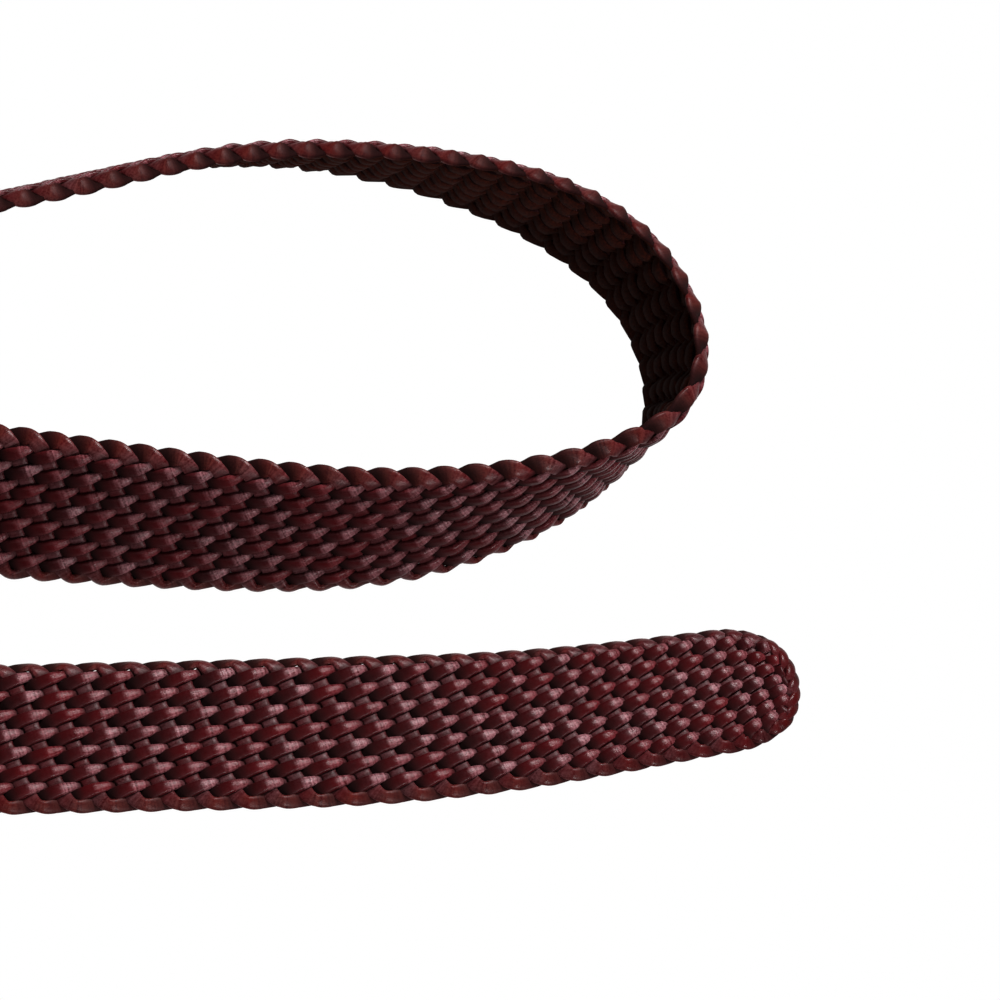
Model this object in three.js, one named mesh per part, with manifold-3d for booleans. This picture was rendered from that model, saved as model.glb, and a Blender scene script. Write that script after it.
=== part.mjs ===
// Braided leather belt, lying unbuckled in an open spiral on a flat surface.
// Millimetres, +Z up, standing on z = 0. The tail's tip points to +X.
// The rounded tail lies flat with its good side up. The band then turns up onto its edge,
// runs once round a standing, leaning loop and lies down again at the buckle inside the loop.
import * as THREE from "three";
import { mergeVertices } from "three/addons/utils/BufferGeometryUtils.js";
import Module from "manifold-3d";

const wasm = await Module();
wasm.setup();

// Strap
const STRAP_LENGTH = 1090;
const STRAP_WIDTH = 34;
const STRAP_THICKNESS = 4.6;
const TIP_WIDTH = 28.4;
const TIP_DEPTH = 13;
const TAPER_LENGTH = 105;
const STATION_STEP = 4.5;
const EDGE_SIDES = 5;
const TIP_STATIONS = 8;
const ROUNDING_SPARE = 1.02;
const GUIDE_STEPS = 40;

// Folded tab that joins the strap to the buckle
const TAB_LEATHER = 1.8;
const TAB_HOLD = 24;
const TAB_CORNER = 5;
const TAB_SLOT_WIDTH = 6;
const TAB_SLOT_REACH = 4.8;
const FOLD_SIDES = 10;
const TAB_CORNER_SIDES = 6;
const TRIM_SPARE = 1;
const GAP = 0.3;
const RISE_LENGTH = 30;

// Buckle
const BAR_DIAMETER = 4.4;
const BUCKLE_WINDOW_WIDTH = 38.6;
const BUCKLE_REACH = 30;
const BUCKLE_CORNER = 8;
const BAR_CORNER = 3.5;
const SHORTEST_SIDE = 0.05;
const PRONG_WIDTH = 3.4;
const PRONG_THICKNESS = 2.4;
const PRONG_OVERHANG = 2;
const ROD_SIDES = 10;
const RING_CORNER_SIDES = 3;
const SHARPEST_MITRE = 0.5;
const PRONG_SIDES = 8;

// The prong's side view, as shares of the bar's radius
const HEEL_REACH = 0.7;
const HEEL_DEPTH = 0.5;
const NECK_PLACE = 0.9;
const POINT_HEIGHT = 0.4;
const SEAT_HEIGHT = 0.95;
// Its arch and point, as shares of the buckle's reach and the prong's thickness
const ARCH_PLACE = 0.45;
const ARCH_RISE = 0.5;
const POINT_LENGTH = 0.6;

const OXBLOOD = new THREE.Color(0.24, 0.06, 0.07);
const STEEL = new THREE.Color(0.62, 0.6, 0.57);

// The band's guide rows, from the tip to the buckle end. x and y are shares of STRAP_LENGTH in
// plan. lean is the band's angle from upright in degrees: 90 is flat, and above 0 its top edge
// leans to the inside of the loop. A smooth curve follows the rows.
const GUIDE = [
  { x: 0.0592, y: -0.0402, lean: 90 },
  { x: 0.0385, y: -0.0432, lean: 90 },
  { x: 0.0, y: -0.0498, lean: 90 },
  { x: -0.043, y: -0.0515, lean: 90 },
  { x: -0.088, y: -0.0524, lean: 90 },
  { x: -0.134, y: -0.0534, lean: 90 },
  { x: -0.184, y: -0.055, lean: 86 },
  { x: -0.234, y: -0.05, lean: 70 },
  { x: -0.272, y: -0.029, lean: 48 },
  { x: -0.286, y: 0.004, lean: 30 },
  { x: -0.272, y: 0.033, lean: 21 },
  { x: -0.235, y: 0.044, lean: 19 },
  { x: -0.197, y: 0.046, lean: 21 },
  { x: -0.16, y: 0.05, lean: 25 },
  { x: -0.123, y: 0.057, lean: 29 },
  { x: -0.086, y: 0.0663, lean: 33 },
  { x: -0.056, y: 0.0743, lean: 29 },
  { x: -0.0197, y: 0.0704, lean: 18 },
  { x: 0.0124, y: 0.059, lean: 1 },
  { x: 0.0301, y: 0.0431, lean: -11 },
  { x: 0.0369, y: 0.0235, lean: -19 },
  { x: 0.0345, y: 0.0105, lean: -20 },
  { x: 0.0265, y: 0.003, lean: -17 },
  { x: 0.0115, y: -0.0073, lean: -3 },
  { x: -0.0185, y: -0.0152, lean: 16 },
  { x: -0.053, y: -0.0131, lean: 27 },
  { x: -0.0885, y: -0.0083, lean: 37 },
  { x: -0.12, y: -0.0036, lean: 48 },
  { x: -0.148, y: -0.001, lean: 62 },
  { x: -0.172, y: 0.0, lean: 82 },
  { x: -0.191, y: 0.0, lean: 90 },
  { x: -0.205, y: 0.0, lean: 90 },
  { x: -0.22, y: 0.0, lean: 90 },
];

const leather = new THREE.MeshStandardMaterial({ color: OXBLOOD, roughness: 0.55, metalness: 0 });
const metal = new THREE.MeshStandardMaterial({ color: STEEL, roughness: 0.35, metalness: 1 });

function mix(low, high, share) {
  return low + (high - low) * share;
}

function easeStep(share) {
  const t = Math.min(1, Math.max(0, share));
  return t * t * (3 - 2 * t);
}

// A cubic B-spline value between rows b and c, with their outer neighbours a and d.
function blendRow(a, b, c, d, t) {
  const wa = (1 - t) ** 3 / 6;
  const wb = (3 * t ** 3 - 6 * t ** 2 + 4) / 6;
  const wc = (-3 * t ** 3 + 3 * t ** 2 + 3 * t + 1) / 6;
  const wd = t ** 3 / 6;
  return wa * a + wb * b + wc * c + wd * d;
}

// The guide as close points with their distance from the tip, scaled to the strap's length.
function traceGuide() {
  const first = GUIDE[0];
  const second = GUIDE[1];
  const last = GUIDE[GUIDE.length - 1];
  const beforeLast = GUIDE[GUIDE.length - 2];
  const beyond = (end, next) => ({
    x: 2 * end.x - next.x,
    y: 2 * end.y - next.y,
    lean: 2 * end.lean - next.lean,
  });
  const rows = [beyond(first, second), ...GUIDE, beyond(last, beforeLast)];
  const points = [];
  for (let row = 0; row + 3 < rows.length; row += 1) {
    const isLast = row + 4 === rows.length;
    const count = isLast ? GUIDE_STEPS + 1 : GUIDE_STEPS;
    for (let step = 0; step < count; step += 1) {
      const t = step / GUIDE_STEPS;
      const value = (key) =>
        blendRow(rows[row][key], rows[row + 1][key], rows[row + 2][key], rows[row + 3][key], t);
      points.push({ x: value("x"), y: value("y"), lean: value("lean"), s: 0 });
    }
  }
  for (let i = 1; i < points.length; i += 1) {
    const length = Math.hypot(points[i].x - points[i - 1].x, points[i].y - points[i - 1].y);
    points[i].s = points[i - 1].s + length;
  }
  const scale = STRAP_LENGTH / points[points.length - 1].s;
  for (const point of points) {
    point.x *= scale;
    point.y *= scale;
    point.s *= scale;
  }
  return points;
}

const trace = traceGuide();

function traceAt(distance) {
  let low = 0;
  let high = trace.length - 1;
  while (high - low > 1) {
    const middle = Math.floor((low + high) / 2);
    if (trace[middle].s <= distance) low = middle;
    else high = middle;
  }
  const share = (distance - trace[low].s) / (trace[high].s - trace[low].s);
  return {
    x: mix(trace[low].x, trace[high].x, share),
    y: mix(trace[low].y, trace[high].y, share),
    lean: mix(trace[low].lean, trace[high].lean, share),
  };
}

// Half the band's width at a distance from the tip: a round end, then a long taper.
function halfWidth(distance) {
  const full = mix(TIP_WIDTH, STRAP_WIDTH, easeStep(distance / TAPER_LENGTH)) / 2;
  if (distance >= TIP_DEPTH) return full;
  const share = 1 - distance / TIP_DEPTH;
  return full * Math.sqrt(1 - share * share);
}

// How far the band is lifted off the surface where the tab's lower leaf lies under it.
function liftAt(distance) {
  const raised = TAB_LEATHER + GAP;
  const mouth = STRAP_LENGTH - TAB_HOLD;
  return raised * easeStep((distance - mouth + RISE_LENGTH) / (RISE_LENGTH - GAP));
}

// Centre, width direction and outer face direction of the band at a distance from the tip.
function bandFrame(distance) {
  const reach = 0.5;
  const before = traceAt(Math.max(0, distance - reach));
  const after = traceAt(Math.min(STRAP_LENGTH, distance + reach));
  const here = traceAt(distance);
  const along = new THREE.Vector2(after.x - before.x, after.y - before.y).normalize();
  const inward = new THREE.Vector3(along.y, -along.x, 0);
  const up = new THREE.Vector3(0, 0, 1);
  const lean = THREE.MathUtils.degToRad(here.lean);
  const across = up.clone().multiplyScalar(Math.cos(lean)).addScaledVector(inward, Math.sin(lean));
  const face = up.clone().multiplyScalar(Math.sin(lean)).addScaledVector(inward, -Math.cos(lean));
  const radius = STRAP_THICKNESS / 2;
  const rest = Math.max(0, halfWidth(distance) - radius) * Math.abs(Math.cos(lean));
  const centre = new THREE.Vector3(here.x, here.y, rest + radius + liftAt(distance));
  return { centre, across, face };
}

// The band's section, flat faces with round edges, as offsets across and out of its face.
function bandSection(distance) {
  const radius = STRAP_THICKNESS / 2;
  const straight = Math.max(0, halfWidth(distance) - radius);
  const section = [];
  for (const side of [1, -1]) {
    for (let i = 0; i <= EDGE_SIDES; i += 1) {
      const angle = Math.PI * (i / EDGE_SIDES - 0.5);
      const across = side * (straight + radius * Math.cos(angle));
      section.push([across, side * radius * Math.sin(angle)]);
    }
  }
  return section;
}

// Distances from the tip at which the band has a section: close together round the tip.
function bandStations() {
  const radius = STRAP_THICKNESS / 2;
  const startAngle = Math.asin((2 * radius) / TIP_WIDTH) * ROUNDING_SPARE;
  const stations = [];
  for (let i = 0; i < TIP_STATIONS; i += 1) {
    const angle = mix(startAngle, Math.PI / 2, i / TIP_STATIONS);
    stations.push(TIP_DEPTH * (1 - Math.cos(angle)));
  }
  const rest = STRAP_LENGTH - TIP_DEPTH;
  const count = Math.round(rest / STATION_STEP);
  for (let i = 0; i <= count; i += 1) {
    stations.push(TIP_DEPTH + (rest * i) / count);
  }
  return stations;
}

// A closed body from rings of equal size, with a flat fan at each end.
function skinRings(rings) {
  const positions = rings.flat().flatMap((point) => [point.x, point.y, point.z]);
  const size = rings[0].length;
  const index = [];
  for (let ring = 0; ring + 1 < rings.length; ring += 1) {
    for (let i = 0; i < size; i += 1) {
      const a = ring * size + i;
      const b = ring * size + ((i + 1) % size);
      index.push(a, b + size, b, a, a + size, b + size);
    }
  }
  const lastRing = (rings.length - 1) * size;
  for (let i = 1; i + 1 < size; i += 1) {
    index.push(0, i, i + 1);
    index.push(lastRing, lastRing + i + 1, lastRing + i);
  }
  const geometry = new THREE.BufferGeometry();
  geometry.setAttribute("position", new THREE.Float32BufferAttribute(positions, 3));
  geometry.setIndex(index);
  return geometry;
}

function makeStrap() {
  const rings = bandStations().map((distance) => {
    const { centre, across, face } = bandFrame(distance);
    return bandSection(distance).map(([offAcross, offFace]) =>
      centre.clone().addScaledVector(across, offAcross).addScaledVector(face, offFace),
    );
  });
  return skinRings(rings);
}

function toSolid(geometry) {
  const plain = geometry.clone();
  plain.deleteAttribute("normal");
  plain.deleteAttribute("uv");
  const merged = mergeVertices(plain, 1e-4);
  const mesh = new wasm.Mesh({
    numProp: 3,
    vertProperties: new Float32Array(merged.attributes.position.array),
    triVerts: new Uint32Array(merged.index.array),
  });
  return new wasm.Manifold(mesh);
}

function toGeometry(solid) {
  const mesh = solid.getMesh();
  const geometry = new THREE.BufferGeometry();
  geometry.setAttribute("position", new THREE.BufferAttribute(mesh.vertProperties, 3));
  geometry.setIndex(new THREE.BufferAttribute(mesh.triVerts, 1));
  geometry.computeVertexNormals();
  return geometry;
}

// The tab and buckle are made about the bar's axis: the strap lies towards +X of it,
// the buckle reaches towards -X, and z = 0 is the bar's height.
const leafInside = STRAP_THICKNESS / 2 + GAP;
const leafOutside = leafInside + TAB_LEATHER;
const barToStrapEnd = leafInside + GAP;
const tabReach = barToStrapEnd + TAB_HOLD;

// A flat hairpin seen from the side, folded round the bar, as wide as the strap.
function makeTab() {
  const profile = new THREE.Shape();
  profile.moveTo(tabReach, leafOutside);
  profile.lineTo(0, leafOutside);
  profile.absarc(0, 0, leafOutside, Math.PI / 2, (3 * Math.PI) / 2, false);
  profile.lineTo(tabReach, -leafOutside);
  profile.lineTo(tabReach, -leafInside);
  profile.lineTo(0, -leafInside);
  profile.absarc(0, 0, leafInside, (3 * Math.PI) / 2, Math.PI / 2, true);
  profile.lineTo(tabReach, leafInside);
  profile.closePath();
  const options = { depth: STRAP_WIDTH, bevelEnabled: false, curveSegments: FOLD_SIDES };
  const hairpin = new THREE.ExtrudeGeometry(profile, options);
  hairpin.rotateX(Math.PI / 2);
  hairpin.translate(0, STRAP_WIDTH / 2, 0);

  const half = STRAP_WIDTH / 2;
  const foldEnd = -leafOutside - TRIM_SPARE;
  const cornerX = tabReach - TAB_CORNER;
  const cornerY = half - TAB_CORNER;
  const outline = new THREE.Shape();
  outline.moveTo(foldEnd, -half - TRIM_SPARE);
  outline.lineTo(cornerX, -half - TRIM_SPARE);
  outline.lineTo(cornerX, -half);
  outline.absarc(cornerX, -cornerY, TAB_CORNER, -Math.PI / 2, 0, false);
  outline.absarc(cornerX, cornerY, TAB_CORNER, 0, Math.PI / 2, false);
  outline.lineTo(cornerX, half + TRIM_SPARE);
  outline.lineTo(foldEnd, half + TRIM_SPARE);
  outline.closePath();
  const blockDepth = 2 * (leafOutside + TRIM_SPARE);
  const blockOptions = { depth: blockDepth, bevelEnabled: false, curveSegments: TAB_CORNER_SIDES };
  const block = new THREE.ExtrudeGeometry(outline, blockOptions);
  block.translate(0, 0, -blockDepth / 2);

  const slot = new THREE.BoxGeometry(TAB_SLOT_REACH - foldEnd, TAB_SLOT_WIDTH, blockDepth);
  slot.translate((TAB_SLOT_REACH + foldEnd) / 2, 0, 0);
  const tab = toSolid(hairpin).intersect(toSolid(block)).subtract(toSolid(slot));
  return toGeometry(tab);
}

// A closed ring of rod along a rounded rectangle whose near side is the bar.
function makeFrameRing() {
  const radius = BAR_DIAMETER / 2;
  const half = BUCKLE_WINDOW_WIDTH / 2 + radius;
  const corner = BUCKLE_CORNER;
  const route = new THREE.Shape();
  route.moveTo(0, -half + BAR_CORNER);
  route.lineTo(0, half - BAR_CORNER);
  route.absarc(-BAR_CORNER, half - BAR_CORNER, BAR_CORNER, 0, Math.PI / 2, false);
  route.lineTo(-BUCKLE_REACH + corner, half);
  route.absarc(-BUCKLE_REACH + corner, half - corner, corner, Math.PI / 2, Math.PI, false);
  route.lineTo(-BUCKLE_REACH, -half + corner);
  route.absarc(-BUCKLE_REACH + corner, -half + corner, corner, Math.PI, (3 * Math.PI) / 2, false);
  route.lineTo(-BAR_CORNER, -half);
  route.absarc(-BAR_CORNER, -half + BAR_CORNER, BAR_CORNER, -Math.PI / 2, 0, false);
  const points = route.getPoints(RING_CORNER_SIDES);
  const clean = points.filter((point, i) => {
    const next = points[(i + 1) % points.length];
    return point.distanceTo(next) > SHORTEST_SIDE;
  });
  const rings = clean.map((point, i) => {
    const before = clean[(i + clean.length - 1) % clean.length];
    const after = clean[(i + 1) % clean.length];
    const into = point.clone().sub(before).normalize();
    const out = after.clone().sub(point).normalize();
    const along = into.clone().add(out).normalize();
    const stretch = 1 / Math.max(SHARPEST_MITRE, along.dot(into));
    const side = new THREE.Vector3(along.y * stretch, -along.x * stretch, 0);
    return Array.from({ length: ROD_SIDES }, (_, k) => {
      const angle = (2 * Math.PI * (k + 0.5)) / ROD_SIDES;
      return new THREE.Vector3(point.x, point.y, radius * Math.sin(angle)).addScaledVector(
        side,
        radius * Math.cos(angle),
      );
    });
  });
  return closeRings(rings);
}

function closeRings(rings) {
  const size = rings[0].length;
  const positions = rings.flat().flatMap((point) => [point.x, point.y, point.z]);
  const index = [];
  for (let ring = 0; ring < rings.length; ring += 1) {
    const next = (ring + 1) % rings.length;
    for (let i = 0; i < size; i += 1) {
      const a = ring * size + i;
      const b = ring * size + ((i + 1) % size);
      const c = next * size + ((i + 1) % size);
      const d = next * size + i;
      index.push(a, c, b, a, d, c);
    }
  }
  const geometry = new THREE.BufferGeometry();
  geometry.setAttribute("position", new THREE.Float32BufferAttribute(positions, 3));
  geometry.setIndex(index);
  return geometry;
}

// The prong starts on the bar, arches over the window and rests on the far side.
function makeProng() {
  const radius = BAR_DIAMETER / 2;
  const tipX = -BUCKLE_REACH - radius - PRONG_OVERHANG;
  const top = radius + PRONG_THICKNESS;
  const heelX = radius * HEEL_REACH;
  const heelZ = -radius * HEEL_DEPTH;
  const neck = radius * NECK_PLACE;
  const point = radius * POINT_HEIGHT;
  const seat = radius * SEAT_HEIGHT;
  const archX = -BUCKLE_REACH * ARCH_PLACE;
  const rise = PRONG_THICKNESS * ARCH_RISE;
  const shape = new THREE.Shape();
  shape.moveTo(heelX, heelZ);
  shape.lineTo(heelX, neck);
  shape.quadraticCurveTo(archX, top + rise, -BUCKLE_REACH, top);
  shape.quadraticCurveTo(tipX, top, tipX, point);
  shape.lineTo(tipX + PRONG_THICKNESS * POINT_LENGTH, point);
  shape.quadraticCurveTo(-BUCKLE_REACH - point, seat, -BUCKLE_REACH, seat);
  shape.quadraticCurveTo(archX, radius + rise, -neck, heelZ);
  shape.closePath();
  const options = { depth: PRONG_WIDTH, bevelEnabled: false, curveSegments: PRONG_SIDES };
  const prong = new THREE.ExtrudeGeometry(shape, options);
  prong.rotateX(Math.PI / 2);
  prong.translate(0, PRONG_WIDTH / 2, 0);
  return prong;
}

function makeBuckle() {
  const buckle = toSolid(makeFrameRing()).add(toSolid(makeProng()));
  return toGeometry(buckle);
}

function nameMesh(name, geometry, material) {
  const mesh = new THREE.Mesh(geometry, material);
  mesh.name = name;
  geometry.computeVertexNormals();
  return mesh;
}

const strap = nameMesh("strap", makeStrap(), leather);
const endTab = nameMesh("end_tab", makeTab(), leather);
const buckle = nameMesh("buckle", makeBuckle(), metal);

// The bar sits just past the strap's end, at the height of the strap's middle there.
const end = bandFrame(STRAP_LENGTH).centre;
const barPlace = new THREE.Vector3(end.x - barToStrapEnd, end.y, end.z);
endTab.position.copy(barPlace);
buckle.position.copy(barPlace);
// The far side of the frame drops until it touches the surface.
const barDrop = barPlace.z - BAR_DIAMETER / 2;
buckle.rotation.y = -Math.asin(barDrop / BUCKLE_REACH);

const belt = new THREE.Group();
belt.add(strap, endTab, buckle);

// The origin is the middle of the whole belt in plan, on the surface.
belt.updateMatrixWorld(true);
const bounds = new THREE.Box3().setFromObject(belt, true);
const middle = bounds.getCenter(new THREE.Vector3());
belt.position.set(-middle.x, -middle.y, -bounds.min.z);
belt.updateMatrixWorld(true);

export default belt;
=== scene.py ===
import math

import bpy
import numpy as np
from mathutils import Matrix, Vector


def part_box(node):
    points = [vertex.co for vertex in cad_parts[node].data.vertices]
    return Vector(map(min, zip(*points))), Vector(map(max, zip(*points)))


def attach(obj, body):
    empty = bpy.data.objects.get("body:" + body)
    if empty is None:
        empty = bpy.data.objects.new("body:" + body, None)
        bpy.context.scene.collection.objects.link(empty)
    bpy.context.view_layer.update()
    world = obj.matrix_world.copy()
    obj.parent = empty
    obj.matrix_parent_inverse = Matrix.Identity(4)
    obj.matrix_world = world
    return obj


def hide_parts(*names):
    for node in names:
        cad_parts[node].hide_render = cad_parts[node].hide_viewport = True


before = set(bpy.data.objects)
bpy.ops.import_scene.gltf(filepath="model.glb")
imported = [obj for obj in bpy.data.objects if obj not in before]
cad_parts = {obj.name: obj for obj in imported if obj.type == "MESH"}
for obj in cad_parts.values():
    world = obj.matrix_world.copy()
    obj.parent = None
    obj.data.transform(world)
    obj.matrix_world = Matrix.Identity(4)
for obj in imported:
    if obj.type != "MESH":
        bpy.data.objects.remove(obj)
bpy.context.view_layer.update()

# The band, in metres: the same sizes as the strap solid.
STRAP_LENGTH = 1.09
STRAP_WIDTH = 0.034
STRAP_THICKNESS = 0.0046
TIP_WIDTH = 0.0284
TIP_DEPTH = 0.013
TAPER_LENGTH = 0.105
TAB_HOLD = 0.024
TAB_LEATHER = 0.0018
GAP = 0.0003
RISE_LENGTH = 0.03

# The band's guide rows from the tip to the buckle end: x and y as shares of STRAP_LENGTH,
# lean in degrees from upright, where 90 is flat and above 0 leans to the inside of the loop.
GUIDE = [
    (0.0592, -0.0402, 90),
    (0.0385, -0.0432, 90),
    (0.0, -0.0498, 90),
    (-0.043, -0.0515, 90),
    (-0.088, -0.0524, 90),
    (-0.134, -0.0534, 90),
    (-0.184, -0.055, 86),
    (-0.234, -0.05, 70),
    (-0.272, -0.029, 48),
    (-0.286, 0.004, 30),
    (-0.272, 0.033, 21),
    (-0.235, 0.044, 19),
    (-0.197, 0.046, 21),
    (-0.16, 0.05, 25),
    (-0.123, 0.057, 29),
    (-0.086, 0.0663, 33),
    (-0.056, 0.0743, 29),
    (-0.0197, 0.0704, 18),
    (0.0124, 0.059, 1),
    (0.0301, 0.0431, -11),
    (0.0369, 0.0235, -19),
    (0.0345, 0.0105, -20),
    (0.0265, 0.003, -17),
    (0.0115, -0.0073, -3),
    (-0.0185, -0.0152, 16),
    (-0.053, -0.0131, 27),
    (-0.0885, -0.0083, 37),
    (-0.12, -0.0036, 48),
    (-0.148, -0.001, 62),
    (-0.172, 0.0, 82),
    (-0.191, 0.0, 90),
    (-0.205, 0.0, 90),
    (-0.22, 0.0, 90),
]

# The weave. Strands run down across the band in few pitches and up again in many.
STRANDS = 16
ROWS = 8
DOWN_PITCHES = 2.4
UP_PITCHES = STRANDS - DOWN_PITCHES
STRAND_WIDTH = 0.0026
STRAND_THICKNESS = 0.0014
LONG_WAVE = 0.00125
SHORT_WAVE = 0.0003
LOWER_EDGE_HEIGHT = 0.0006
LOWER_ROLL = math.radians(46)
RIM_ROLL = math.radians(50)
DASH_LIFT_SPREAD = 0.2
DASH_SLIP_SPREAD = 0.07
SEED = 7
CORNER_SMOOTHING = 0.0038
WAVE_SMOOTHING = 0.0006
# A long dash over its row: place, height, painted shade in the hollow, painted highlight, width. It
# rises steeply, climbs slowly, slopes down a little and dives.
DASH_PROFILE = (
    (-0.4, -1.0, 1.0, 0.0, 1.5),
    (-0.27, 0.2, 0.95, 0.0, 1.25),
    (-0.12, 0.72, 0.3, 0.0, 1.08),
    (0.04, 1.0, 0.0, 0.1, 1.0),
    (0.1, 0.88, 0.0, 1.0, 0.97),
    (0.26, 0.42, 0.0, 1.0, 0.72),
    (0.32, 0.0, 0.5, 0.6, 0.72),
    (0.4, -1.0, 1.0, 0.0, 1.6),
)
# Width of the short crossings as a share of STRAND_WIDTH, where they show and under the dashes.
CROSSING_WIDTH = 1.22
HIDDEN_WIDTH = 1.7
# Painted highlight and painted shade on the short crossings where they show, and painted highlight on the
# edge turns.
CROSSING_HIGHLIGHT = 0.4
CROSSING_SHADE = 0.1
TURN_HIGHLIGHT = 0.15
# Under the turns at the upper edge the strands are wide, so that the band is closed there: row
# place, height, edge turn, painted shade and width.
UPPER_FILL = (0.3, -0.6, 0.35, 0.9, 1.6)
# The turns at the upper edge at distances from the tip: widths as shares, rolls in degrees, and
# how far they sink towards the band's inner face.
TURN_PLACES = (0.3, 0.45, 0.8, 0.88)
TURN_WIDTHS = (1.1, 1.45, 1.45, 1.2)
TURN_ROLLS = (80, 98, 98, 62)
TURN_SINKS = (0.0001, 0.0008, 0.0008, 0.0004)
# Near both edges the strands run more slantwise: pitches by which each row place is moved on.
SLANT_ROWS = (0, 1, 4, 7, 8)
SLANT_PITCHES = (0, 0.17, 0, -0.17, 0)
UPPER_SPREAD = 1.16
# The lower edge's spread at distances from the tip: tighter in the tail.
LOWER_SPREAD_PLACES = (0.17, 0.26)
LOWER_SPREADS = (1.11, 1.16)
EDGE_INSET = 0.0012
TIP_REACH = 0.015
TIP_SHRINK = 0.12
# The braided rim round the tip: three strands that each loop over the edge, cross inward and dive.
RIM_STRANDS = 3
RIM_WIDTH = 0.85
RIM_PITCH = 0.0037
RIM_SPAN = math.radians(70)
RIM_FADE = math.radians(22)
RIM_OUTER_INSET = 0.0012
RIM_INNER_INSET = 0.0035
# Share of the period, inset share, height, edge turn, painted shade, painted highlight.
RIM_PROFILE = (
    (0.0, 0.0, -0.3, 1.0, 0.3, 0.0),
    (0.2, 0.0, 0.3, 1.0, 0.0, 0.0),
    (0.38, 0.35, 0.7, 0.5, 0.0, 0.15),
    (0.5, 0.8, 0.5, 0.1, 0.1, 0.3),
    (0.58, 1.0, -0.6, 0.0, 0.7, 0.0),
    (0.85, 0.4, -0.9, 0.4, 1.0, 0.0),
    (1.0, 0.0, -0.3, 1.0, 0.3, 0.0),
)
# How brown the turns at the edges are at distances from the tip.
BROWN_PLACES = (0.02, 0.08)
BROWN_SHARES = (0.25, 1)
FLOOR_CLEARANCE = 0.0001
STRAND_STEP = 0.0006
# For each point of a strip's section: how near it is to a cut edge, and whether the side
# after it is the back.
SECTION_EDGE = (1, 0.9, 0.35, 0, 0, 0.35, 0.9, 1, 1, 1)
SECTION_BACK = (0, 0, 0, 0, 0, 0, 0, 1, 1, 1)
# The pitch along the band at distances from the tip, in metres.
PITCH_PLACES = (0.0, 0.035, 0.063, 0.09, 0.11, 0.16, 0.2)
PITCHES = (0.0048, 0.0053, 0.0062, 0.007, 0.0072, 0.0072, 0.0066)

# The tab and the buckle, the same sizes as their solids.
BAR_RADIUS = 0.0022
BUCKLE_REACH = 0.03
BUCKLE_HALF_WIDTH = 0.0193 + BAR_RADIUS
BUCKLE_CORNER = 0.008
BAR_CORNER = 0.0035
PRONG_WIDTH = 0.0034
PRONG_THICKNESS = 0.0024
PRONG_OVERHANG = 0.002
PRONG_TIP_WIDTHS = (0.7, 0.92)
PRONG_CORNER = 0.3
LOOP_THICKNESS = 0.0012
LEAF_INSIDE = STRAP_THICKNESS / 2 + GAP
LEAF_OUTSIDE = LEAF_INSIDE + TAB_LEATHER
TAB_VOXEL = 0.00045
STITCH_INSET = 0.0026
STITCH_PITCH = 0.0034
STITCH_LENGTH = 0.0026
THREAD_RADIUS = 0.00036
GROOVE_WIDTH = 0.0009
GROOVE_DEPTH = 0.00028
EDGE_ROUNDING = 0.0003
# One stitch along its length: place as a share of STITCH_LENGTH, then size and drop as shares of
# THREAD_RADIUS.
STITCH_PROFILE = (
    (-0.5, 0.35, -0.6),
    (-0.42, 0.8, -0.15),
    (-0.2, 1.0, 0.1),
    (0.2, 1.0, 0.1),
    (0.42, 0.8, -0.15),
    (0.5, 0.35, -0.6),
)
STITCH_SIDES = 8
STITCH_SINK = 0.6 * GROOVE_DEPTH
ROD_SIDES = 28

# Colours of leather, thread and steel, linear.
LEATHER_DARK = (0.014, 0.0009, 0.0014)
LEATHER_RED = (0.038, 0.0018, 0.0028)
LEATHER_WORN = (0.1, 0.022, 0.026)
LEATHER_BROWN = (0.085, 0.018, 0.009)
# Painted highlight on the dashes' sloping ends, pale lilac.
PAINTED_HIGHLIGHT_LILAC = (0.245, 0.128, 0.142)
# Painted shade in the strands' hollows, near black; the tab's cut edges are darkened with it too.
SHADE_AND_CUT_EDGE_BLACK = (0.003, 0.0004, 0.0004)
# Flesh side: its brown fibre mixed with near black, the near black a painted shade.
BACK_SHADE_DARK = (0.008, 0.0014, 0.001)
BACK_BROWN = (0.03, 0.006, 0.003)
THREAD_DARK = (0.04, 0.012, 0.012)
THREAD_LIGHT = (0.09, 0.03, 0.027)
STEEL_DARK = (0.28, 0.27, 0.25)
STEEL_LIGHT = (0.46, 0.44, 0.41)

# Camera, in the band's own plan frame.
CAMERA_ELEVATION = math.radians(64.5)
CAMERA_DISTANCE = 0.781
PIXELS_PER_METRE = 4565
FRAME_PIXELS = 1000

FLOOR_HALF_SIZE = 3.0
FLOOR_HEIGHT = -0.0002


def ease_step(share):
    """From 0 to 1 with a soft start and end."""
    t = np.clip(share, 0, 1)
    return t * t * (3 - 2 * t)


def trace_guide():
    """Close points along the guide: distance from the tip, x, y and lean."""
    rows = np.array(GUIDE, float)
    rows = np.vstack([2 * rows[0] - rows[1], rows, 2 * rows[-1] - rows[-2]])
    steps = 40
    pieces = []
    for i in range(len(rows) - 3):
        t = np.linspace(0, 1, steps, endpoint=False)[:, None]
        a, b, c, d = rows[i : i + 4]
        blend = (1 - t) ** 3 * a + (3 * t**3 - 6 * t**2 + 4) * b
        blend = blend + (-3 * t**3 + 3 * t**2 + 3 * t + 1) * c + t**3 * d
        pieces.append(blend / 6)
    pieces.append((rows[-3] + 4 * rows[-2] + rows[-1])[None, :] / 6)
    points = np.vstack(pieces)
    lengths = np.hypot(np.diff(points[:, 0]), np.diff(points[:, 1]))
    distance = np.concatenate([[0], np.cumsum(lengths)])
    scale = STRAP_LENGTH / distance[-1]
    points[:, :2] *= scale
    return distance * scale, points


TRACE_S, TRACE = trace_guide()


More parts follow.
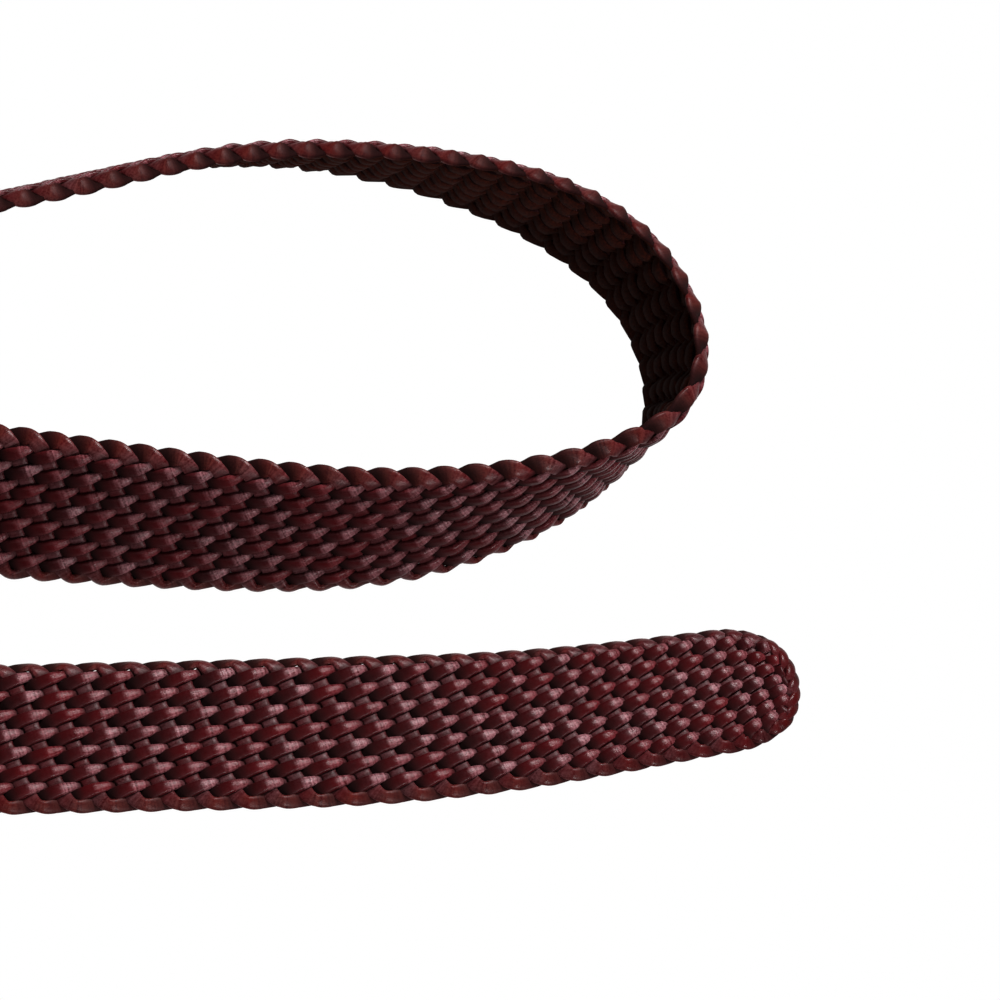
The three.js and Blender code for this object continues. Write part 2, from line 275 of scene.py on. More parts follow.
def half_width(distance):
    """Half the band's width, which narrows along the tail and rounds off over the tip."""
    full = (TIP_WIDTH + (STRAP_WIDTH - TIP_WIDTH) * ease_step(distance / TAPER_LENGTH)) / 2
    share = np.clip(1 - distance / TIP_DEPTH, 0, 1)
    return full * np.sqrt(1 - share * share)


def lift_at(distance):
    """Height over the surface, where the band's end rises into the tab."""
    mouth = STRAP_LENGTH - TAB_HOLD
    return (TAB_LEATHER + GAP) * ease_step((distance - mouth + RISE_LENGTH) / (RISE_LENGTH - GAP))


def round_tip(distance, place):
    """Bend the last stretch of the flat grid onto the half-round tip, inside its rim."""
    full = half_width(np.maximum(distance, TIP_DEPTH)) - EDGE_INSET
    along = np.clip(1 - (distance - EDGE_INSET) / TIP_REACH, 0, 1)
    across = np.clip(place / full, -1, 1)
    shrink = 1 - TIP_SHRINK * ease_step(along) * (1 - across**4)
    bent_along = along * np.sqrt(1 - across * across / 2) * shrink
    bent_across = across * np.sqrt(1 - along * along / 2) * shrink
    bent = EDGE_INSET + TIP_REACH * (1 - bent_along)
    inside = distance < EDGE_INSET + TIP_REACH
    return np.where(inside, bent, distance), np.where(inside, bent_across * full, place)


def trace_at(distance):
    """The guide's x, y and lean at distances from the tip."""
    clipped = np.clip(distance, 0, STRAP_LENGTH)
    x, y, lean = (np.interp(clipped, TRACE_S, TRACE[:, i]) for i in range(3))
    return x, y, lean


def band_frame(distance):
    """Centre, width, outer face and lengthwise directions of the band, as (n, 3) arrays."""
    reach = 0.0005
    x0, y0, _ = trace_at(distance - reach)
    x1, y1, _ = trace_at(distance + reach)
    x, y, lean = trace_at(distance)
    length = np.hypot(x1 - x0, y1 - y0)
    inward = np.stack([(y1 - y0) / length, -(x1 - x0) / length, np.zeros_like(x)], 1)
    lean = np.radians(lean)
    sin, cos = np.sin(lean)[:, None], np.cos(lean)[:, None]
    up = np.array([[0.0, 0.0, 1.0]])
    across = up * cos + inward * sin
    face = up * sin - inward * cos
    radius = STRAP_THICKNESS / 2
    body = np.maximum(0, half_width(np.maximum(distance, TIP_DEPTH)) - radius)
    z = body * np.abs(np.cos(lean)) + radius + lift_at(distance)
    centre = np.stack([x, y, z], 1)
    onward = np.stack([(x1 - x0) / length, (y1 - y0) / length, np.zeros_like(x)], 1)
    return centre, across, face, onward


def plan_offset():
    """From the guide's frame to the part's: the strap box's middle against the guide's own."""
    distance = np.linspace(0, STRAP_LENGTH, 2000)
    centre, across, _, _ = band_frame(distance)
    radius = STRAP_THICKNESS / 2
    body = np.maximum(0, half_width(distance) - radius)[:, None]
    edges = np.vstack([centre + across * body, centre - across * body])
    low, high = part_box("strap")
    return [(low[i] + high[i]) / 2 - (edges[:, i].min() + edges[:, i].max()) / 2 for i in (0, 1)]


OFFSET_X, OFFSET_Y = plan_offset()
OFFSET = np.array([[OFFSET_X, OFFSET_Y, 0.0]])


def pitch_map():
    """Distance from the tip for each pitch count, counted from the tip."""
    distance = np.linspace(0, STRAP_LENGTH, 4000)
    pitch = np.interp(distance, PITCH_PLACES, PITCHES)
    count = np.concatenate([[0], np.cumsum(np.diff(distance) / pitch[1:])])
    return distance, count


MAP_DISTANCE, MAP_COUNT = pitch_map()
TOTAL_PITCHES = MAP_COUNT[-1]


def strand_keys(index):
    """One strand's corners: pitch count from the buckle end, row place, height, edge turn,
    painted shade, painted highlight, width and tone."""
    random = np.random.default_rng(SEED + index)
    keys = []
    start = index - 2 * STRANDS
    while start < TOTAL_PITCHES + STRANDS:
        keys.append((start, 0, 0, 1, 0, TURN_HIGHLIGHT, 1, random.random()))
        for half_row in range(1, 2 * ROWS):
            over = half_row % 2
            tone = random.random()
            sigma = start + DOWN_PITCHES * half_row / (2 * ROWS)
            height = SHORT_WAVE * (2 * over - 1)
            hollow_shade = CROSSING_SHADE if over else 1
            width = CROSSING_WIDTH if over else HIDDEN_WIDTH
            keys.append((sigma, half_row / 2, height, 0, hollow_shade, CROSSING_HIGHLIGHT * over, width, tone))
        end = start + DOWN_PITCHES
        keys.append((end, ROWS, LOWER_EDGE_HEIGHT, -1, 0, TURN_HIGHLIGHT, 1, random.random()))
        for row in range(1, ROWS):
            tone = random.random()
            lift = LONG_WAVE * (1 + DASH_LIFT_SPREAD * (random.random() - 0.5))
            slip = DASH_SLIP_SPREAD * (random.random() - 0.5)
            for share, height, hollow_shade, painted_highlight, width in DASH_PROFILE:
                up = row + share + slip
                sigma = start + DOWN_PITCHES + UP_PITCHES * up / ROWS
                keys.append((sigma, ROWS - up, lift * height, 0, hollow_shade, painted_highlight, width, tone))
        row_place, height, turn, hollow_shade, width = UPPER_FILL
        sigma = start + STRANDS - UP_PITCHES * row_place / ROWS
        keys.append((sigma, row_place, LONG_WAVE * height, turn, hollow_shade, 0, width, tone))
        start += STRANDS
    keys = np.array(keys)
    keys[:, 0] += np.interp(keys[:, 1], SLANT_ROWS, SLANT_PITCHES)
    return keys


def smooth(values, window):
    """Values averaged with their neighbours, with less weight further off."""
    if window < 1:
        return values
    kernel = np.hanning(2 * window + 3)[1:-1]
    kernel /= kernel.sum()
    padded = np.pad(values, (window, window), mode="edge")
    return np.convolve(padded, kernel, mode="valid")


def distance_at(count):
    """Distance from the tip for pitch counts from the buckle end, carried on past both ends."""
    from_tip = TOTAL_PITCHES - count
    distance = np.interp(from_tip, MAP_COUNT, MAP_DISTANCE)
    distance = np.where(from_tip < 0, from_tip * PITCHES[0], distance)
    past_end = STRAP_LENGTH + (from_tip - TOTAL_PITCHES) * PITCHES[-1]
    return np.where(from_tip > TOTAL_PITCHES, past_end, distance)


def even_course(distance, place, values):
    """Even steps along a course, with rounded corners, and its values eased from key to key."""
    length = np.hypot(np.diff(distance), np.diff(place))
    along = np.concatenate([[0], np.cumsum(length)])
    even = np.linspace(0, along[-1], int(along[-1] / STRAND_STEP))
    corner = int(CORNER_SMOOTHING / STRAND_STEP)
    wave = int(WAVE_SMOOTHING / STRAND_STEP)
    d = smooth(np.interp(even, along, distance), corner)
    v = smooth(np.interp(even, along, place), corner)
    height, turn, hollow_shade, painted_highlight, width, tone = (np.interp(even, along, column) for column in values.T)
    return [d, v, smooth(height, wave), smooth(turn, corner), hollow_shade, painted_highlight, width, tone]


def strand_course(index):
    """A strand's course: distance from the tip, place across, and the values of its keys."""
    keys = strand_keys(index)
    distance = distance_at(keys[:, 0])
    width = half_width(np.clip(distance, TIP_DEPTH, None)) - STRAP_THICKNESS / 2
    share = 1 - keys[:, 1] / (ROWS / 2)
    lower = np.interp(distance, LOWER_SPREAD_PLACES, LOWER_SPREADS)
    turn_width = np.interp(distance, TURN_PLACES, TURN_WIDTHS)
    upper = np.maximum(keys[:, 3], 0)
    keys[:, 6] *= 1 + (turn_width - 1) * upper
    keys[:, 2] -= np.interp(distance, TURN_PLACES, TURN_SINKS) * upper
    place = share * width * np.where(share > 0, UPPER_SPREAD, lower)
    course = even_course(distance, place, keys[:, 2:])
    inside = (course[0] > EDGE_INSET) & (course[0] < STRAP_LENGTH)
    course = [values[inside] for values in course]
    course[0], course[1] = round_tip(course[0], course[1])
    turn = course[3]
    outward = np.stack([np.zeros_like(turn), np.sign(turn)], 1)
    upper_roll = np.radians(np.interp(course[0], TURN_PLACES, TURN_ROLLS))
    most = np.where(turn > 0, upper_roll, LOWER_ROLL)
    return course, np.abs(turn) * most, outward


def rim_course(index):
    """One strand of the rim round the tip, from the upper edge round to the lower."""
    random = np.random.default_rng(SEED + 100 + index)
    profile = np.array(RIM_PROFILE)
    radius = (TIP_WIDTH / 2 + TIP_DEPTH) / 2
    period = RIM_STRANDS * RIM_PITCH / radius
    keys = []
    start = RIM_SPAN + period - index * RIM_PITCH / radius
    while start > -RIM_SPAN:
        tone = random.random()
        for share, inset, height, turn, hollow_shade, painted_highlight in profile[:-1]:
            angle = start - share * period
            keys.append((angle, inset, LONG_WAVE * height, turn, hollow_shade, painted_highlight, RIM_WIDTH, tone))
        start -= period
    keys = np.array(keys)
    keys = keys[np.abs(keys[:, 0]) < RIM_SPAN]
    angle = keys[:, 0]
    # near both ends the strands run in under the band's own
    fade = ease_step((RIM_SPAN - np.abs(angle)) / RIM_FADE)
    keys[:, 1] = 1 - (1 - keys[:, 1]) * fade
    keys[:, 2] = -LONG_WAVE + (keys[:, 2] + LONG_WAVE) * fade
    inset = RIM_OUTER_INSET + (RIM_INNER_INSET - RIM_OUTER_INSET) * keys[:, 1]
    distance = TIP_DEPTH - (TIP_DEPTH - inset) * np.cos(angle)
    place = (half_width(TIP_DEPTH) - inset) * np.sin(angle)
    course = even_course(distance, place, keys[:, 2:])
    from_middle = np.stack([course[0] - TIP_DEPTH, course[1]], 1)
    outward = from_middle / np.linalg.norm(from_middle, axis=1)[:, None]
    return course, course[3] * RIM_ROLL, outward


def strip_section():
    """A rounded strip's section as (across, out) pairs: crowned outside, flat inside."""
    w, t = STRAND_WIDTH / 2, STRAND_THICKNESS / 2
    return np.array([
        (w, -0.55 * t), (w, 0.35 * t), (0.86 * w, 0.8 * t), (0.35 * w, t), (-0.35 * w, t),
        (-0.86 * w, 0.8 * t), (-w, 0.35 * t), (-w, -0.55 * t), (-0.85 * w, -t), (0.85 * w, -t),
    ])


def strand_mesh(name, course, roll, outward):
    """A strip along its course, rolled outward where it turns at an edge of the band."""
    d, v, height, turn, hollow_shade, painted_highlight, width, tone = course
    centre, across, face, onward = band_frame(d)
    points = centre + across * v[:, None] + face * height[:, None]
    travel = np.gradient(points, axis=0)
    travel /= np.linalg.norm(travel, axis=1)[:, None]
    out = face - travel * np.sum(face * travel, axis=1)[:, None]
    out /= np.linalg.norm(out, axis=1)[:, None]
    side = np.cross(travel, out)
    away = onward * outward[:, :1] + across * outward[:, 1:]
    angle = roll * np.sign(np.sum(away * side, axis=1))
    cos, sin = np.cos(angle)[:, None], np.sin(angle)[:, None]
    rolled_out = out * cos + side * sin
    rolled_side = side * cos - out * sin
    section = strip_section()
    rings = points[:, None, :] + (rolled_side * width[:, None])[:, None, :] * section[None, :, :1]
    rings = rings + rolled_out[:, None, :] * section[None, :, 1:] + OFFSET[None]
    # where the band stands on its edge the leather lies pressed on the surface
    rings[..., 2] = np.maximum(rings[..., 2], FLOOR_CLEARANCE)
    piece = ring_mesh(name, rings)
    size = len(section)
    keep_values(piece, "edge", np.tile(SECTION_EDGE, len(d)))
    steps = np.linalg.norm(np.diff(points, axis=0), axis=1)
    along = np.concatenate([[0], np.cumsum(steps)])
    brown = np.abs(turn) * np.interp(d, BROWN_PLACES, BROWN_SHARES)
    # the masks for painted shade and painted highlight go to the material with the rest
    by_ring = {"brown": brown, "hollow_shade": hollow_shade, "painted_highlight": painted_highlight, "tone": tone, "along": along}
    for label, values in by_ring.items():
        keep_values(piece, label, np.repeat(values, size))
    back = np.zeros(len(piece.data.polygons), np.int32)
    back[: (len(d) - 1) * size] = np.tile(SECTION_BACK, len(d) - 1)
    piece.data.polygons.foreach_set("material_index", back)
    return piece


def keep_values(piece, label, values):
    """Store one value for each point, for the materials."""
    layer = piece.data.attributes.new(label, "FLOAT", "POINT")
    layer.data.foreach_set("value", values.astype(np.float32))


def new_piece(name, points, faces):
    """A smooth-shaded object in the scene."""
    mesh = bpy.data.meshes.new(name)
    mesh.from_pydata(points, [], faces)
    piece = bpy.data.objects.new(name, mesh)
    bpy.context.scene.collection.objects.link(piece)
    shade_smooth(mesh)
    return piece


def shade_smooth(mesh):
    for polygon in mesh.polygons:
        polygon.use_smooth = True


def ring_faces(count, size, closed=False):
    """Faces of a skin over rings of equal size, closed on itself or with flat ends."""
    i = np.arange(count if closed else count - 1)[:, None] * size
    after = (i + size) % (count * size)
    j = np.arange(size)[None, :]
    k = (j + 1) % size
    quads = np.stack([i + j, i + k, after + k, after + j], -1).reshape(-1, 4)
    faces = [tuple(quad) for quad in quads.tolist()]
    if not closed:
        faces.append(tuple(range(size - 1, -1, -1)))
        faces.append(tuple(range((count - 1) * size, count * size)))
    return faces


def ring_mesh(name, rings, closed=False):
    count, size = rings.shape[:2]
    return new_piece(name, rings.reshape(-1, 3).tolist(), ring_faces(count, size, closed))


def set_input(tree, socket, value):
    """Set a plain value on a socket, or link another socket to it."""
    if isinstance(value, bpy.types.NodeSocket):
        tree.links.new(value, socket)
    else:
        socket.default_value = value


def add_node(tree, kind, inputs=None, **settings):
    """A shader node with its settings, and its inputs as plain values or linked sockets."""
    node = tree.nodes.new(kind)
    for name, value in settings.items():
        setattr(node, name, value)
    for name, value in (inputs or {}).items():
        set_input(tree, node.inputs[name], value)
    return node


def new_material(name, colour=(0.8, 0.8, 0.8), roughness=0.5, metallic=0.0, specular=0.5):
    material = bpy.data.materials.new(name)
    material.use_nodes = True
    tree = material.node_tree
    shader = tree.nodes["Principled BSDF"]
    shader.inputs["Base Color"].default_value = (*colour, 1)
    shader.inputs["Roughness"].default_value = roughness
    shader.inputs["Metallic"].default_value = metallic
    shader.inputs["Specular IOR Level"].default_value = specular
    return material, tree, shader


def object_place(tree):
    return tree.nodes.new("ShaderNodeTexCoord").outputs["Object"]


def noise(tree, place, scale, detail=2.0, roughness=0.5):
    inputs = {"Vector": place, "Scale": scale, "Detail": detail, "Roughness": roughness}
    return add_node(tree, "ShaderNodeTexNoise", inputs).outputs["Fac"]


def remap(tree, value, low, high, to_low=0.0, to_high=1.0):
    inputs = {"Value": value, "From Min": low, "From Max": high, "To Min": to_low, "To Max": to_high}
    return add_node(tree, "ShaderNodeMapRange", inputs).outputs["Result"]


def multiply(tree, first, second):
    node = add_node(tree, "ShaderNodeMath", operation="MULTIPLY")
    set_input(tree, node.inputs[0], first)
    set_input(tree, node.inputs[1], second)
    return node.outputs[0]


def mix_value(tree, share, first, second):
    node = add_node(tree, "ShaderNodeMix", data_type="FLOAT")
    set_input(tree, node.inputs[0], share)
    set_input(tree, node.inputs[2], first)
    set_input(tree, node.inputs[3], second)
    return node.outputs[0]


def mix_colour(tree, share, first, second):
    node = add_node(tree, "ShaderNodeMix", data_type="RGBA")
    set_input(tree, node.inputs[0], share)
    for socket, colour in ((node.inputs[6], first), (node.inputs[7], second)):
        set_input(tree, socket, (*colour, 1) if isinstance(colour, tuple) else colour)
    return node.outputs[2]


def bump(tree, shader, height, distance, strength=1.0):
    inputs = {"Height": height, "Distance": distance, "Strength": strength}
    node = add_node(tree, "ShaderNodeBump", inputs)
    tree.links.new(node.outputs["Normal"], shader.inputs["Normal"])


def attribute(tree, name):
    return add_node(tree, "ShaderNodeAttribute", attribute_name=name).outputs["Fac"]


def place_along(tree):
    """A place that changes only along the strand, and from one dash to the next."""
    sideways = multiply(tree, attribute(tree, "tone"), 0.001)
    inputs = {"X": attribute(tree, "along"), "Y": sideways}
    return add_node(tree, "ShaderNodeCombineXYZ", inputs).outputs["Vector"]


def make_strand_leather():
    """Dark oxblood grain leather: painted shade nearly black in the hollows, a painted highlight on
    the sloping dash ends, and browner and rougher where a strand turns at the band's edge."""
    material, tree, shader = new_material("strand_leather", specular=0.085)
    place = object_place(tree)
    hollow_shade = attribute(tree, "hollow_shade")
    blotch = remap(tree, noise(tree, place, 260, 3), 0.3, 0.7)
    tone = mix_value(tree, 0.5, attribute(tree, "tone"), blotch)
    # fine creases across the strands
    streaks = noise(tree, place_along(tree), 2400, 2)
    speckle = remap(tree, mix_value(tree, 0.45, noise(tree, place, 2300, 3, 0.75), streaks), 0.36, 0.66)
    colour = mix_colour(tree, tone, LEATHER_DARK, LEATHER_RED)
    # the painted highlight's colour: pale lilac on some dashes, worn red on others
    highlight_colour = mix_colour(tree, attribute(tree, "tone"), PAINTED_HIGHLIGHT_LILAC, LEATHER_WORN)
    for name, worn_colour, most in (
        ("edge", LEATHER_WORN, 0.4),
        ("brown", LEATHER_BROWN, 0.65),
        ("painted_highlight", highlight_colour, 0.75),
    ):
        share = multiply(tree, attribute(tree, name), speckle)
        colour = mix_colour(tree, multiply(tree, share, most), colour, worn_colour)
    # painted shade: the hollows turned nearly black
    colour = mix_colour(tree, multiply(tree, hollow_shade, 0.92), colour, SHADE_AND_CUT_EDGE_BLACK)
    tree.links.new(colour, shader.inputs["Base Color"])
    gloss = remap(tree, noise(tree, place, 1500, 3, 0.6), 0.3, 0.7, 0.2, 0.36)
    gloss = mix_value(tree, hollow_shade, gloss, 0.95)
    tree.links.new(gloss, shader.inputs["Roughness"])
    grain = noise(tree, place, 1900, 4, 0.7)
    strength = remap(tree, attribute(tree, "painted_highlight"), 0, 1, 0.35, 0.7)
    bump(tree, shader, grain, 0.00016, strength)
    return material


def make_back_leather():
    """The strands' flesh side, matte: its own brown fibre, darkened to near black as painted shade."""
    material, tree, shader = new_material("strand_back", roughness=0.9, specular=0.05)
    place = object_place(tree)
    fibre = noise(tree, place, 1800, 4, 0.7)
    colour = mix_colour(tree, remap(tree, fibre, 0.35, 0.7), BACK_SHADE_DARK, BACK_BROWN)
    tree.links.new(colour, shader.inputs["Base Color"])
    bump(tree, shader, fibre, 0.0001)
    return material


def make_strands():
    leather = make_strand_leather()
    back = make_back_leather()
    courses = [(f"strand_{i + 1:02d}", strand_course(i)) for i in range(STRANDS)]
    courses += [(f"tip_rim_{i + 1}", rim_course(i)) for i in range(RIM_STRANDS)]
    for name, (course, roll, outward) in courses:
        piece = strand_mesh(name, course, roll, outward)
        piece.data.materials.append(leather)
        piece.data.materials.append(back)
        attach(piece, "root")
        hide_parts("strap")


def bar_place():
    """The bar's axis: inside the tab's fold, and the strap's end lies on its +X side."""
    low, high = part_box("end_tab")
    return np.array([low[0] + LEAF_OUTSIDE, (low[1] + high[1]) / 2, low[2] + LEAF_OUTSIDE])


def stitch_lines():
    """The seam as two long runs and one across the tab's end, from the bar's axis."""
    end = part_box("end_tab")[1][0] - bar_place()[0] - STITCH_INSET
    side = STRAP_WIDTH / 2 - STITCH_INSET
    start = LEAF_OUTSIDE + STITCH_INSET
    return [((start, -side), (end, -side)), ((start, side), (end, side)), ((end, -side), (end, side))]


def seam_distance(x, y):
    """Distance in plan from points to the nearest seam line."""
    nearest = np.full(x.shape, np.inf)
    for (x0, y0), (x1, y1) in stitch_lines():
        length = math.hypot(x1 - x0, y1 - y0)
        ux, uy = (x1 - x0) / length, (y1 - y0) / length
        along = np.clip((x - x0) * ux + (y - y0) * uy, 0, length)
        nearest = np.minimum(nearest, np.hypot(x - x0 - along * ux, y - y0 - along * uy))
    return nearest


def make_tab_leather():
    material, tree, shader = new_material("tab_grain_leather", specular=0.12)
    place = object_place(tree)
    pores = add_node(tree, "ShaderNodeTexVoronoi", {"Vector": place, "Scale": 1500.0}).outputs["Distance"]
    creases = noise(tree, place, 420, 4, 0.6)
    colour = mix_colour(tree, remap(tree, noise(tree, place, 150, 3), 0.3, 0.7), LEATHER_DARK, LEATHER_RED)
    worn = remap(tree, attribute(tree, "edge"), 0, 1, 0, 0.6)
    colour = mix_colour(tree, worn, colour, SHADE_AND_CUT_EDGE_BLACK)
    tree.links.new(colour, shader.inputs["Base Color"])
    tree.links.new(remap(tree, creases, 0.3, 0.7, 0.3, 0.5), shader.inputs["Roughness"])
    grain = mix_value(tree, 0.6, creases, pores)
    bump(tree, shader, grain, 0.00016, 0.7)
    return material


def remesh_tab():
    """The tab's solid as a fine even mesh with softened edges."""
    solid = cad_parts["end_tab"]
    piece = bpy.data.objects.new("tab_fold", solid.data.copy())
    piece.matrix_world = solid.matrix_world.copy()
    bpy.context.scene.collection.objects.link(piece)
    remesh = piece.modifiers.new("remesh", "REMESH")
    remesh.mode = "VOXEL"
    remesh.voxel_size = TAB_VOXEL
    soften = piece.modifiers.new("soften", "SMOOTH")
    soften.factor = 0.5
    soften.iterations = 4
    view_layer = bpy.context.evaluated_depsgraph_get()
    mesh = bpy.data.meshes.new_from_object(piece.evaluated_get(view_layer))
    piece.modifiers.clear()
    piece.data = mesh
    return piece


def make_tab():
    """The tab's leather with a groove pressed in along its seam."""
    piece = remesh_tab()
    mesh = piece.data
    points = np.empty(len(mesh.vertices) * 3)
    mesh.vertices.foreach_get("co", points)
    to_world = np.array(piece.matrix_world)
    world = points.reshape(-1, 3) @ to_world[:3, :3].T + to_world[:3, 3]
    local = world - bar_place()
    height = local[:, 2]
    away = seam_distance(local[:, 0], local[:, 1])
    groove = GROOVE_DEPTH * np.exp(-((away / GROOVE_WIDTH) ** 2))
    leaf_middle = (LEAF_INSIDE + LEAF_OUTSIDE) / 2
    world[:, 2] -= np.sign(height) * groove * (np.abs(height) > leaf_middle)
    piece.matrix_world.identity()
    mesh.vertices.foreach_set("co", world.ravel())
    cut_edge = np.abs(np.abs(height) - leaf_middle) < TAB_LEATHER / 2 - EDGE_ROUNDING
    keep_values(piece, "edge", (cut_edge & (local[:, 0] > 0)).astype(float))
    shade_smooth(mesh)
    mesh.materials.clear()
    mesh.materials.append(make_tab_leather())
    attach(piece, "root")
    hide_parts("end_tab")


def stitch_points(start, direction, middle, face):
    """The rings of one stitch, on the upper leaf for face 1 and on the lower for face -1."""
    bar_x, bar_y, bar_z = bar_place()
    (x0, y0), (ux, uy) = start, direction
    points = []
    for place, size, drop in STITCH_PROFILE:
        at = middle + place * STITCH_LENGTH
        for k in range(STITCH_SIDES):
            turn = 2 * math.pi * k / STITCH_SIDES
            side = THREAD_RADIUS * size * math.cos(turn)
            rise = THREAD_RADIUS * (size * math.sin(turn) + drop)
            x = bar_x + (x0 + ux * at - uy * side)
            y = bar_y + (y0 + uy * at + ux * side)
            z = bar_z + face * (LEAF_OUTSIDE - STITCH_SINK + rise)
            # under the tab the thread is pressed flat on the surface
            points.append((x, y, max(z, FLOOR_CLEARANCE)))
    return points


def make_thread():
    material, tree, shader = new_material("waxed_thread", roughness=0.6, specular=0.1)
    inputs = {"Vector": object_place(tree), "Scale": 900.0, "Distortion": 2.0}
    twist = add_node(tree, "ShaderNodeTexWave", inputs).outputs["Fac"]
    colour = mix_colour(tree, twist, THREAD_DARK, THREAD_LIGHT)
    tree.links.new(colour, shader.inputs["Base Color"])
    bump(tree, shader, twist, 0.00005)
    return material


def make_stitches():
    """Waxed thread along the seam on both leaves of the tab."""
    stitch_faces = ring_faces(len(STITCH_PROFILE), STITCH_SIDES)
    points, faces = [], []
    for (x0, y0), (x1, y1) in stitch_lines():
        length = math.hypot(x1 - x0, y1 - y0)
        direction = ((x1 - x0) / length, (y1 - y0) / length)
        count = int(length / STITCH_PITCH)
        for number in range(count):
            middle = (number + 0.5) * length / count
            for face in (1, -1):
                first = len(points)
                points += stitch_points((x0, y0), direction, middle, face)
                faces += [tuple(first + k for k in corners[::face]) for corners in stitch_faces]
    piece = new_piece("tab_stitching", points, faces)
    piece.data.materials.append(make_thread())
    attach(piece, "root")
    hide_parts("end_tab")


def arc(centre_x, centre_y, radius, start, end, steps=9):
    """Points along an arc, from one angle to another in degrees."""
    turn = np.radians(np.linspace(start, end, steps))
    return [(centre_x + radius * math.cos(a), centre_y + radius * math.sin(a)) for a in turn]


def buckle_tilt(points):
    """From the buckle's own frame, flat about its bar, to its place with the far side down."""
    bar = bar_place()
    angle = math.asin((bar[2] - BAR_RADIUS) / BUCKLE_REACH)
    x = points[..., 0] * math.cos(angle) - points[..., 2] * math.sin(angle)
    z = points[..., 2] * math.cos(angle) + points[..., 0] * math.sin(angle)
    return np.stack([x, points[..., 1], z], -1) + bar


def make_buckle_frame():
    """A round rod bent to a rounded rectangle, closed."""
    half, reach = BUCKLE_HALF_WIDTH, BUCKLE_REACH
    route = arc(-BAR_CORNER, half - BAR_CORNER, BAR_CORNER, 0, 90)
    route += arc(-reach + BUCKLE_CORNER, half - BUCKLE_CORNER, BUCKLE_CORNER, 90, 180, 15)
    route += arc(-reach + BUCKLE_CORNER, -half + BUCKLE_CORNER, BUCKLE_CORNER, 180, 270, 15)
    route += arc(-BAR_CORNER, -half + BAR_CORNER, BAR_CORNER, 270, 360)
    route = np.array(route)
    travel = np.roll(route, -1, 0) - np.roll(route, 1, 0)
    travel /= np.linalg.norm(travel, axis=1)[:, None]
    turn = 2 * np.pi * np.arange(ROD_SIDES) / ROD_SIDES
    rings = np.zeros((len(route), ROD_SIDES, 3))
    for ring, place, (along_x, along_y) in zip(rings, route, travel):
        normal = np.array([along_y, -along_x])
        ring[:, :2] = place + BAR_RADIUS * np.cos(turn)[:, None] * normal
        ring[:, 2] = BAR_RADIUS * np.sin(turn)
    return ring_mesh("buckle_frame", buckle_tilt(rings), closed=True)


def prong_path():
    """Rows from the prong's tip and round the bar: x, z and share of the full thickness."""
    far = BUCKLE_REACH + BAR_RADIUS + PRONG_OVERHANG
    top = BAR_RADIUS + PRONG_THICKNESS / 2
    middle = BAR_RADIUS + LOOP_THICKNESS / 2
    body = [
        (-far, top - 0.0011, 0.55),
        (-far + 0.0006, top - 0.0006, 0.85),
        (-BUCKLE_REACH, top, 1.0),
        (-0.022, top + 0.0009, 1.0),
        (-0.0135, top + 0.0012, 1.0),
        (-0.006, top + 0.0007, 0.85),
        (-0.0022, middle + 0.0007, 0.65),
    ]
    thin = LOOP_THICKNESS / PRONG_THICKNESS
    return np.array(body + [(x, z, thin) for x, z in arc(0, 0, middle, 80, -165, 22)])


def prong_outline():
    """The prong's section with rounded corners, as shares of its half width and half thickness."""
    inset = 1 - PRONG_CORNER
    middle = 1 - PRONG_CORNER * 0.3
    outline = []
    for sx, sy in ((1, -1), (1, 1), (-1, 1), (-1, -1)):
        corner = [(sx, sy * inset), (sx * middle, sy * middle), (sx * inset, sy)]
        outline += corner if sx * sy > 0 else corner[::-1]
    return np.array(outline)


def make_prong():
    """A flat prong that rests on the frame's far side and is looped round the bar."""
    path = prong_path()
    outline = prong_outline()
    travel = np.gradient(path[:, :2], axis=0)
    travel /= np.linalg.norm(travel, axis=1)[:, None]
    widths = np.ones(len(path))
    widths[: len(PRONG_TIP_WIDTHS)] = PRONG_TIP_WIDTHS
    rings = np.zeros((len(path), len(outline), 3))
    for ring, (x, z, share), (along_x, along_z), width in zip(rings, path, travel, widths):
        thick = PRONG_THICKNESS / 2 * share * outline[:, 1]
        ring[:, 0] = x - along_z * thick
        ring[:, 1] = PRONG_WIDTH / 2 * width * outline[:, 0]
        ring[:, 2] = z + along_x * thick
    return ring_mesh("buckle_prong", buckle_tilt(rings))


def make_steel():
    material, tree, shader = new_material("satin_steel", metallic=1.0)
    place = object_place(tree)
    stretch = add_node(tree, "ShaderNodeMapping", {"Vector": place, "Scale": (300.0, 6000.0, 6000.0)})
    brushed = noise(tree, stretch.outputs["Vector"], 1.0, 3, 0.6)
    clouds = remap(tree, noise(tree, place, 160, 3), 0.3, 0.7)
    colour = mix_colour(tree, mix_value(tree, 0.6, brushed, clouds), STEEL_DARK, STEEL_LIGHT)
    tree.links.new(colour, shader.inputs["Base Color"])
    tree.links.new(remap(tree, brushed, 0.3, 0.7, 0.26, 0.44), shader.inputs["Roughness"])
    bump(tree, shader, brushed, 0.00003, 0.6)
    return material


def make_buckle():
    steel = make_steel()
    for piece in (make_buckle_frame(), make_prong()):
        piece.data.materials.append(steel)
        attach(piece, "root")
        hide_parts("buckle")


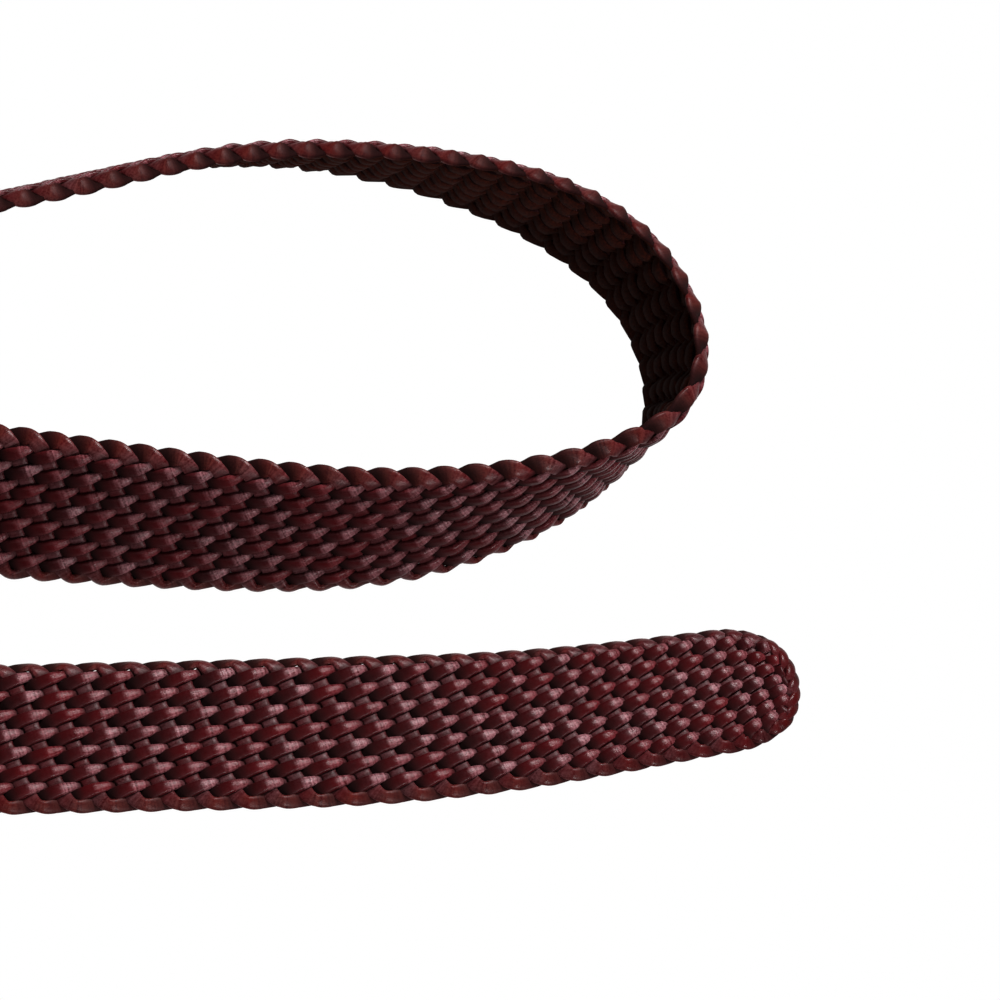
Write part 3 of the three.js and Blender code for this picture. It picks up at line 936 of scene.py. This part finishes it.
def make_camera():
    """The photo's angle and framing."""
    camera = bpy.data.cameras.new("camera")
    camera.sensor_width = 36
    camera.lens = 36 * PIXELS_PER_METRE * CAMERA_DISTANCE / FRAME_PIXELS
    holder = bpy.data.objects.new("camera", camera)
    bpy.context.scene.collection.objects.link(holder)
    target = Vector((OFFSET_X, OFFSET_Y, 0))
    back = Vector((0, -math.cos(CAMERA_ELEVATION), math.sin(CAMERA_ELEVATION)))
    holder.location = target + back * CAMERA_DISTANCE
    holder.rotation_euler = (math.pi / 2 - CAMERA_ELEVATION, 0, 0)
    bpy.context.scene.camera = holder


def make_floor():
    """A plain white sheet that shines evenly, so that it takes no shadow."""
    half = FLOOR_HALF_SIZE
    corners = [(-half, -half, 0), (half, -half, 0), (half, half, 0), (-half, half, 0)]
    floor = new_piece("floor", corners, [(0, 1, 2, 3)])
    floor.location.z = FLOOR_HEIGHT
    paper, _, shader = new_material("floor_paper", (0, 0, 0), 1.0, specular=0)
    shader.inputs["Emission Color"].default_value = (1, 1, 1, 1)
    shader.inputs["Emission Strength"].default_value = 1.0
    floor.data.materials.append(paper)


def area_light(name, place, size, power):
    """A square white light that faces the part's middle."""
    light = bpy.data.lights.new(name, "AREA")
    light.size = size
    light.energy = power
    holder = bpy.data.objects.new(name, light)
    holder.location = place
    direction = -Vector(place)
    holder.rotation_euler = direction.to_track_quat("-Z", "Y").to_euler()
    bpy.context.scene.collection.objects.link(holder)


def make_light():
    world = bpy.data.worlds.new("studio")
    bpy.context.scene.world = world
    world.use_nodes = True
    background = world.node_tree.nodes["Background"]
    background.inputs["Color"].default_value = (1, 1, 1, 1)
    background.inputs["Strength"].default_value = 0.16
    area_light("key_back_right", (0.6, 0.78, 1.12), 0.3, 68)
    area_light("window_front_right", (0.6, -1.12, 0.46), 0.18, 25)
    area_light("fill_front", (-0.5, -0.8, 1.2), 1.2, 10)
    bpy.context.scene.view_settings.view_transform = "Standard"
    bpy.context.scene.view_settings.gamma = 0.8


make_camera()
make_strands()
make_tab()
make_stitches()
make_buckle()
make_floor()
make_light()
